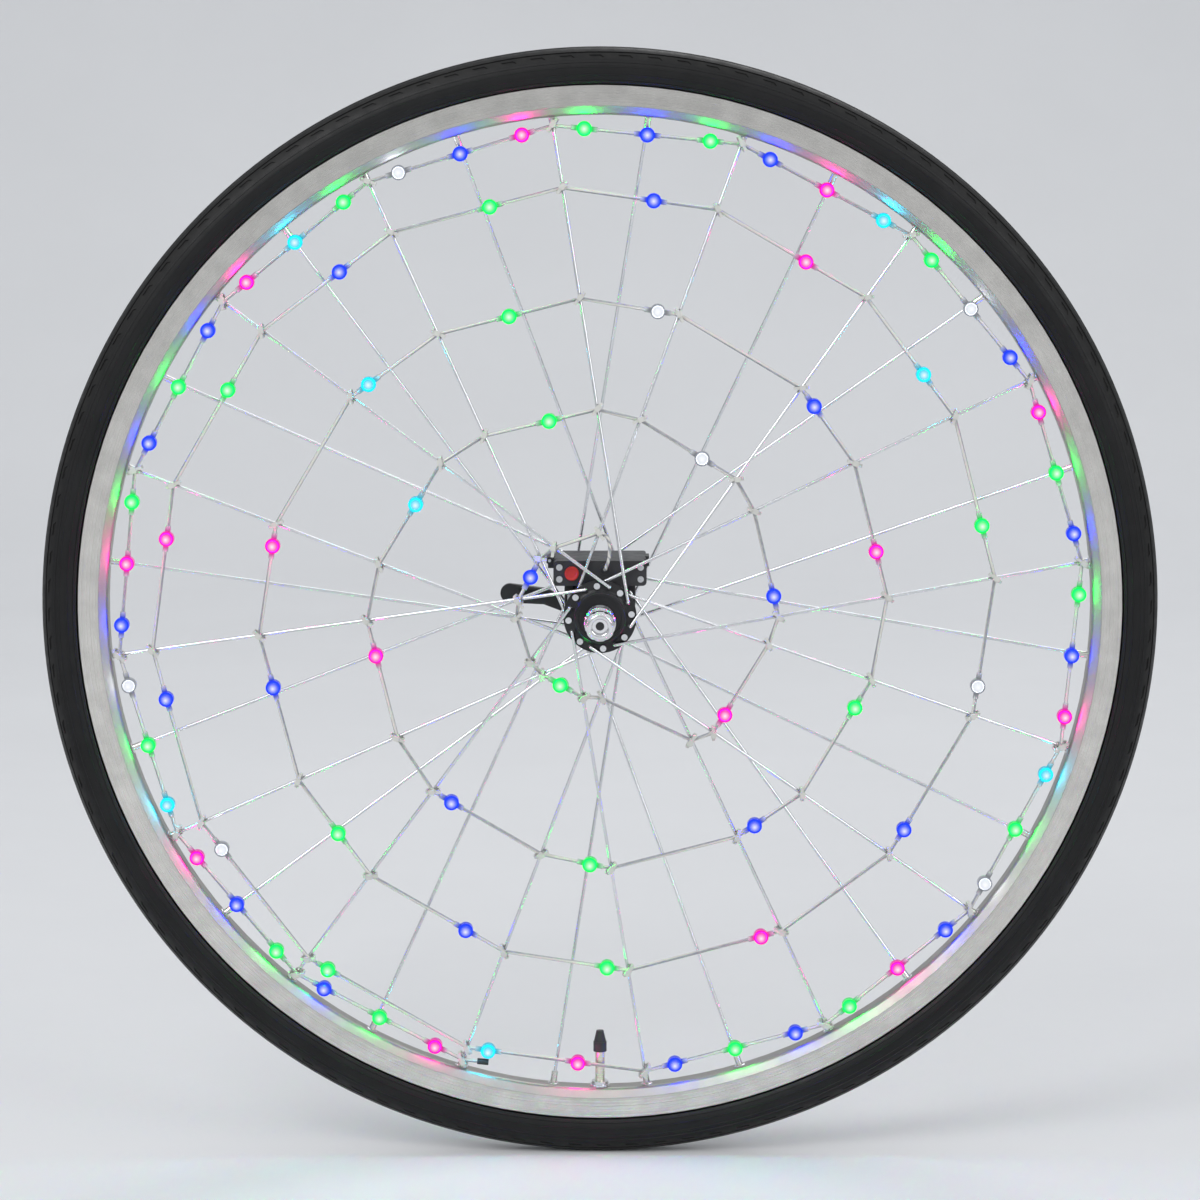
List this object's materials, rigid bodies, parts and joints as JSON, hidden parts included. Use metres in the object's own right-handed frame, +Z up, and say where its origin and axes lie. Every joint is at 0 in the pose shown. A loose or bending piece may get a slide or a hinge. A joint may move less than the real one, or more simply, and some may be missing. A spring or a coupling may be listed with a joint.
{
  "type": "spoke wheel light",
  "caption": "Spoked bicycle wheel carrying a string of coloured lights tied in a spiral over its spokes, fed by a battery pack strapped to the hub.",
  "frame": {"origin": "centre of the wheel, on the axle midway between the locknuts", "axes": "+Y along the axle toward the skewer lever, +Z up, +X to the right seen from the skewer nut"},
  "size_m": [0.678, 0.15, 0.678],
  "materials": {
    "tyre_rubber": "matte black rubber with a slick tread and fine grooves",
    "tube_rubber": "butyl rubber",
    "rim_alloy": "anodised silver with a machined brake track",
    "rim_tape_cloth": "woven tape",
    "valve_brass": "nickel-washed brass",
    "plated_nut": "bright plating",
    "black_plastic": "fine moulded texture",
    "nipple_brass": "nickel plated",
    "spoke_steel": "drawn stainless steel",
    "hub_black": "black anodised",
    "bearing_steel": "ground steel",
    "dark_steel": "pressed steel",
    "cage_steel": "pressed retainer steel",
    "axle_steel": "zinc plated steel",
    "chrome": "polished chrome",
    "black_alloy": "satin black coating",
    "strap_web": "black hook-and-loop webbing",
    "seal_silicone": "silicone",
    "button_red": "soft rubber",
    "board_green": "solder resist",
    "switch_black": "moulded",
    "cell_wrap": "printed-free shrink wrap",
    "contact_metal": "nickel plated spring metal",
    "cable_clear": "clear vinyl over bright wires",
    "tie_nylon": "natural nylon",
    "led_housing_clear": "milky clear moulding",
    "chip_cream": "light chip on a white board",
    "lens_magenta": "frosted domed lens, lit",
    "lens_blue": "frosted domed lens, lit",
    "lens_cyan": "frosted domed lens, lit",
    "lens_green": "frosted domed lens, lit",
    "lens_white": "frosted domed lens, lit"
  },
  "bodies": {
    "axle_set": {"axle": "axle_steel", "cones": "bearing_steel", "axle_washers": "axle_steel", "locknuts": "axle_steel", "skewer_rod": "axle_steel", "skewer_head": "black_alloy", "skewer_springs": "axle_steel"},
    "wheel": {"tyre": "tyre_rubber", "inner_tube": "tube_rubber", "rim": "rim_alloy", "rim_tape": "rim_tape_cloth", "valve_stem": "valve_brass", "valve_nut": "plated_nut", "valve_cap": "black_plastic", "nipples": "nipple_brass", "spokes_nut_outer": "spoke_steel", "spokes_nut_inner": "spoke_steel", "spokes_lever_outer": "spoke_steel", "spokes_lever_inner": "spoke_steel", "hub_shell": "hub_black", "bearing_cups": "bearing_steel", "dust_caps": "dark_steel", "hub_strap": "strap_web", "battery_case": "black_plastic", "hinge_pin": "axle_steel", "switch_cover": "black_plastic", "cover_screws": "axle_steel", "switch_body": "switch_black", "control_board": "board_green", "batteries": "cell_wrap", "contact_springs": "contact_metal", "contact_plates": "contact_metal", "cable_gland": "black_plastic", "light_string": "cable_clear", "string_end": "black_plastic", "cable_ties": "tie_nylon", "led_housings": "led_housing_clear", "led_boards": "chip_cream", "lenses_magenta": "lens_magenta", "lenses_blue": "lens_blue", "lenses_cyan": "lens_cyan", "lenses_green": "lens_green", "lenses_white": "lens_white"},
    "balls_nut": {"balls_nut_side": "bearing_steel", "cage_nut_side": "cage_steel"},
    "balls_lever": {"balls_lever_side": "bearing_steel", "cage_lever_side": "cage_steel"},
    "lever": {"skewer_lever": "black_alloy", "lever_nut": "chrome"},
    "nut": {"skewer_nut": "chrome"},
    "lid": {"battery_lid": "black_plastic", "lid_seal": "seal_silicone"},
    "button": {"push_button": "button_red"}
  },
  "joints": [
    {"name": "wheel_spin", "type": "hinge", "parent": "axle_set", "child": "wheel", "pos_m": [0, 0, 0], "axis": [0, 1, 0], "continuous": true},
    {"name": "balls_nut_roll", "type": "hinge", "parent": "axle_set", "child": "balls_nut", "pos_m": [0, -0.033, 0], "axis": [0, 1, 0], "continuous": true},
    {"name": "balls_lever_roll", "type": "hinge", "parent": "axle_set", "child": "balls_lever", "pos_m": [0, 0.033, 0], "axis": [0, 1, 0], "continuous": true},
    {"name": "lever_turn", "type": "hinge", "parent": "axle_set", "child": "lever", "pos_m": [0, 0.066, 0], "axis": [0, 0, -1], "range_deg": [0, 180]},
    {"name": "nut_turn", "type": "hinge", "parent": "axle_set", "child": "nut", "pos_m": [0, -0.066, 0], "axis": [0, 1, 0], "continuous": true},
    {"name": "lid_open", "type": "hinge", "parent": "wheel", "child": "lid", "pos_m": [-0.03045, 0, 0.0313], "axis": [0, -1, 0], "range_deg": [0, 110]},
    {"name": "button_press", "type": "slide", "parent": "wheel", "child": "button", "axis": [0, 1, 0], "range_m": [0, 0.0008], "stiffness_N_per_m": 500}
  ],
  "couplings": [
    {"joint": "balls_nut_roll", "follows": "wheel_spin", "ratio": 0.593},
    {"joint": "balls_lever_roll", "follows": "wheel_spin", "ratio": 0.593}
  ]
}
